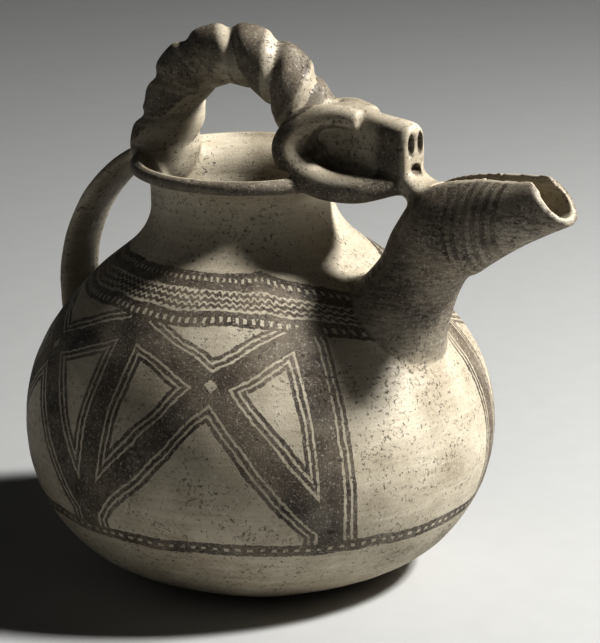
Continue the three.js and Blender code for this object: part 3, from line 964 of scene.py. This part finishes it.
def painted_slipware(sizes, colours):
    """Earthenware with a burnished pale slip and brushed manganese-dark paint, low fired and long buried.

    The slip gives a dull sheen in streaks, the paint is thinner and a little rougher, and both are pitted,
    gritty and rubbed, so no area is one flat colour.
    """
    material = bpy.data.materials.new("painted_slipware")
    material.use_nodes = True
    tree = material.node_tree
    tree.nodes.clear()
    coords, pattern = brushed_pattern(tree, sizes)
    pattern = brushwork_and_shade(tree, coords, pattern)

    # The slip is clouded over 30 mm and streaked by the burnishing pebble about every 2 mm.
    cloud = add(tree, "TexNoise", coords, 0.0, 24.0, 4.0, 0.6, out="Fac")
    streaks = add(tree, "Mapping", coords, (0, 0, 0), (0, 0, 0), (30, 30, 420))
    streaks = add(tree, "TexNoise", streaks, 0.0, 1.0, 3.0, 0.6, out="Fac")
    stain = add(tree, "Math", streaks, 0.35, cloud, operation="MULTIPLY_ADD")
    stain = add(tree, "MapRange", stain, 0.52, 0.82, 0.0, 0.9)
    slip, slip_worn = (*colours.slip, 1), (*colours.slip_worn, 1)
    ground = add(tree, "Mix", {0: stain, 6: slip, 7: slip_worn}, out=2, data_type="RGBA")

    # Paint is denser in some strokes than in others, and is rubbed through to the slip in flecks under 1 mm.
    density = add(tree, "TexNoise", coords, 0.0, 55.0, 3.0, 0.6, out="Fac")
    density = add(tree, "MapRange", density, 0.35, 0.62, 0.74, 1.0)
    rubbed = add(tree, "TexNoise", coords, 0.0, 900.0, 3.0, 0.7, out="Fac")
    rubbed = add(tree, "MapRange", rubbed, 0.56, 0.68, 1.0, 0.25)
    cover = add(tree, "Math", density, rubbed, operation="MULTIPLY")
    hollow = add(tree, "Attribute", attribute_name="hollow", out="Fac")
    # The paint colours also lay the painted shade on the horns, cheeks, eyes and mouth.
    cover = add(tree, "Math", cover, pattern, operation="MULTIPLY")
    bare = add(tree, "Math", hollow, -1.0, 1.0, operation="MULTIPLY_ADD")
    cover = add(tree, "Math", cover, bare, operation="MULTIPLY")
    thick = add(tree, "TexNoise", coords, 0.0, 40.0, 2.0, out="Fac")
    thick = add(tree, "MapRange", thick, 0.4, 0.65, 0.0, 1.0)
    thin_paint, thick_paint = (*colours.paint, 1), (*colours.paint_thick, 1)
    paint = add(tree, "Mix", {0: thick, 6: thin_paint, 7: thick_paint}, out=2, data_type="RGBA")
    painted = add(tree, "Mix", {0: cover, 6: ground, 7: paint}, out=2, data_type="RGBA")

    # Pits and dark grit 0.4 to 1.5 mm across, thicker in some places, and pale knocks.
    grit = add(tree, "TexNoise", coords, 0.0, 480.0, 4.0, 0.85, out="Fac")
    crowd = add(tree, "TexNoise", coords, 0.0, 45.0, 1.0, out="Fac")
    grit = add(tree, "Math", crowd, 0.16, grit, operation="MULTIPLY_ADD")
    grit = add(tree, "MapRange", grit, 0.65, 0.71, 0.0, 0.75)
    knocks = add(tree, "TexNoise", coords, 0.0, 520.0, 4.0, 0.85, out="Fac")
    knocks = add(tree, "MapRange", knocks, 0.585, 0.66, 0.0, 0.6)
    soiled = add(tree, "Mix", {0: grit, 6: painted, 7: (*colours.grit, 1)}, out=2, data_type="RGBA")
    worn = add(tree, "Mix", {0: knocks, 6: soiled, 7: (*colours.chalk, 1)}, out=2, data_type="RGBA")

    sheen = add(tree, "MapRange", streaks, 0.3, 0.7, 0.46, 0.62)
    rough = add(tree, "Math", cover, 0.1, sheen, operation="MULTIPLY_ADD")
    rough = add(tree, "Math", grit, 0.25, rough, operation="MULTIPLY_ADD")

    fine = add(tree, "TexNoise", coords, 0.0, 1100.0, 2.0, 0.6, out="Fac")
    height = add(tree, "Math", streaks, 0.5, fine, operation="MULTIPLY_ADD")
    height = add(tree, "Math", grit, -1.6, height, operation="MULTIPLY_ADD")
    height = add(tree, "Math", cover, 0.12, height, operation="MULTIPLY_ADD")
    bump = add(tree, "Bump", {"Strength": 0.5, "Distance": 0.00035, "Height": height})
    shader = add(tree, "BsdfPrincipled", {"Base Color": worn, "Roughness": rough, "Normal": bump, "IOR": 1.5})
    add(tree, "OutputMaterial", shader)
    return material


class JUG_OT_model(bpy.types.Operator):
    """Models the jug as one hollow piece of clay"""

    bl_idname = "jug.model"
    bl_label = "Model Jug"

    def execute(self, context):
        s = context.scene.jug_sizes
        # Belly, beak and strap first: their joins are wide and soft.
        body = fuse("body", [belly(s), beak_rod(s, "beak", 0), strap(s)], 0.0019)
        beak_root = ((0.090, 0, 0.128), 0.056)
        strap_foot = ((-0.112, 0, 0.104), 0.026)
        strap_top = ((-0.066, 0, 0.208), 0.014)
        soften(body, 60, [beak_root, strap_foot, strap_top])
        cut(body, [beyond_tip(s)])
        # The twisted handle, the head and the horns were pressed on afterwards.
        head = [block(s, "head", HEAD), block(s, "chin", CHIN), block(s, "web", WEB)]
        whole = fuse("whole", [body, rope(s), *head, horn(s, 1), horn(s, -1)], 0.0012)
        cheek = head_back(s) + 0.55 * s.head_length
        back_foot = ((rim_middle(s) - 0.052, 0, s.rim_height), 0.022)
        front_foot = ((rim_middle(s) + 0.044, 0, s.rim_height + 0.004), 0.02)
        chin_root = ((cheek + 0.038, 0, 0.205), 0.022)
        crown = ((cheek - 0.02, 0, 0.245), 0.022)
        soften(whole, 26, [back_foot, front_foot, chin_root, crown])
        inside = hollow(s)
        cut(inside, [rope_root(s)])
        cut(whole, [inside, beak_rod(s, "bore", s.beak_wall), slot_cut(s)])
        jug = fuse(JUG, [whole], s.grain)
        soften(jug, 2)
        rope_foot = ((rim_middle(s) - s.rope_half + 0.003, 0, s.rim_height + 0.002), 0.026)
        soften(jug, 50, [rope_foot])
        swell(jug, s.unevenness)
        cut(jug, [press(s, *mark) for mark in FACE_MARKS])
        thin = jug.modifiers.new("thin", "DECIMATE")
        thin.ratio = min(1.0, 95000 / len(jug.data.polygons))
        finish_modifiers(jug)
        if len(jug.data.polygons) == 0:
            raise RuntimeError("the jug came out empty")
        jug.data.polygons.foreach_set("use_smooth", [True] * len(jug.data.polygons))
        mark_zones(s, jug.data)
        print("jug", len(jug.data.vertices), "vertices", len(jug.data.polygons), "faces")
        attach(jug, "root")
        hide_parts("jug")
        return {"FINISHED"}


class JUG_OT_paint(bpy.types.Operator):
    """Gives the jug its slip, its brushed pattern and the painted shade on its head and horns"""

    bl_idname = "jug.paint"
    bl_label = "Paint Jug"

    def execute(self, context):
        jug = bpy.data.objects[JUG]
        jug.data.materials.clear()
        jug.data.materials.append(painted_slipware(context.scene.jug_sizes, context.scene.jug_colours))
        return {"FINISHED"}


class JUG_OT_studio(bpy.types.Operator):
    """Adds the plain floor and backdrop, the lights and the camera"""

    bl_idname = "jug.studio"
    bl_label = "Add Studio"

    def execute(self, context):
        scene = context.scene
        look = scene.jug_studio
        turn = math.radians(36)

        # A round cove: a level floor that turns up into a wall far behind the cameras.
        bm = bmesh.new()
        bend = [Vector((4, 0, 0)), Vector((4.7, 0, 0)), Vector((5.2, 0, 0.5)), Vector((5.2, 0, 1.2))]
        line = [Vector((0, 0, 0)), Vector((1.5, 0, 0)), *interpolate_bezier(*bend, 16), Vector((5.2, 0, 4.5))]
        spin_round(bm, [bm.verts.new(point) for point in line], 96)
        paper = solid("paper_sweep", bm)
        paper.data.polygons.foreach_set("use_smooth", [True] * len(paper.data.polygons))

        # Matte seamless paper: it shows only its faint fibre clouding.
        material = bpy.data.materials.new("matte_paper")
        material.use_nodes = True
        tree = material.node_tree
        tree.nodes.clear()
        coords = add(tree, "TexCoord", out="Object")
        fibre = add(tree, "TexNoise", coords, 0.0, 60.0, 4.0, out="Fac")
        darker = [c * 0.94 for c in look.paper]
        light, dark = (*look.paper, 1), (*darker, 1)
        tone = add(tree, "Mix", {0: fibre, 6: light, 7: dark}, out=2, data_type="RGBA")
        shader = add(tree, "BsdfPrincipled", {"Base Color": tone, "Roughness": 0.85})
        add(tree, "OutputMaterial", shader)
        paper.data.materials.append(material)

        world = bpy.data.worlds.new("room")
        world.use_nodes = True
        world.node_tree.nodes["Background"].inputs[0].default_value = (1, 1, 1, 1)
        world.node_tree.nodes["Background"].inputs[1].default_value = look.sky
        scene.world = world
        # A print's contrast: clean whites and deep shadows.
        scene.view_settings.view_transform = "Standard"
        scene.view_settings.gamma = 0.78

        # Each lamp: its power, its width, degrees to the camera's right and up, and how far away it stands.
        middle = Vector((0.03, 0, 0.12))
        camera_side = turn - math.pi / 2
        lamps = [("key", look.key_power, 0.25, 83, 45, 1.8), ("fill", look.fill_power, 1.4, -95, 25, 2.2)]
        for name, power, size, right, high, away in lamps:
            angle = camera_side + math.radians(right)
            rise = math.radians(high)
            level = Vector((math.cos(angle), math.sin(angle), 0))
            spot = level * math.cos(rise) + Vector((0, 0, math.sin(rise)))
            lamp = bpy.data.lights.new(name, "AREA")
            lamp.energy = power
            lamp.size = size
            holder = bpy.data.objects.new(name, lamp)
            holder.location = middle + spot * away
            holder.rotation_euler = (-spot).to_track_quat("-Z", "Y").to_euler()
            scene.collection.objects.link(holder)

        # The camera stands 36 degrees round from the side and 0.6 m up, as the photograph's did.
        away = 1.63
        camera = bpy.data.cameras.new("camera")
        camera.lens = 186.7
        camera.sensor_width = 36
        holder = bpy.data.objects.new("camera", camera)
        holder.location = (away * math.sin(turn), -away * math.cos(turn), 0.6)
        aim = Vector((0.02439, 0, 0.1312)) - holder.location
        holder.rotation_euler = aim.to_track_quat("-Z", "Y").to_euler()
        scene.collection.objects.link(holder)
        scene.camera = holder
        return {"FINISHED"}


class JUG_PT_panel(bpy.types.Panel):
    """Lists the jug's steps"""

    bl_idname = "JUG_PT_panel"
    bl_label = "Beaked Pottery Jug"
    bl_space_type = "VIEW_3D"
    bl_region_type = "UI"
    bl_category = "Jug"

    def draw(self, context):
        for step in STEPS:
            self.layout.operator(step.bl_idname)
        for group in (context.scene.jug_sizes, context.scene.jug_colours, context.scene.jug_studio):
            box = self.layout.box()
            for name in group.__annotations__:
                box.prop(group, name)


STEPS = (JUG_OT_model, JUG_OT_paint, JUG_OT_studio)
CLASSES = (JugSizes, JugColours, StudioSettings, *STEPS, JUG_PT_panel)


def register():
    """Registers the classes and puts the jug's settings on the scene."""
    for item in CLASSES:
        bpy.utils.register_class(item)
    bpy.types.Scene.jug_sizes = bpy.props.PointerProperty(type=JugSizes)
    bpy.types.Scene.jug_colours = bpy.props.PointerProperty(type=JugColours)
    bpy.types.Scene.jug_studio = bpy.props.PointerProperty(type=StudioSettings)


def unregister():
    """Takes the settings and the classes away again."""
    del bpy.types.Scene.jug_studio
    del bpy.types.Scene.jug_colours
    del bpy.types.Scene.jug_sizes
    for item in reversed(CLASSES):
        bpy.utils.unregister_class(item)


def main():
    """Builds the jug and its studio."""
    register()
    bpy.ops.jug.model()
    bpy.ops.jug.paint()
    bpy.ops.jug.studio()


if __name__ == "__main__":
    main()
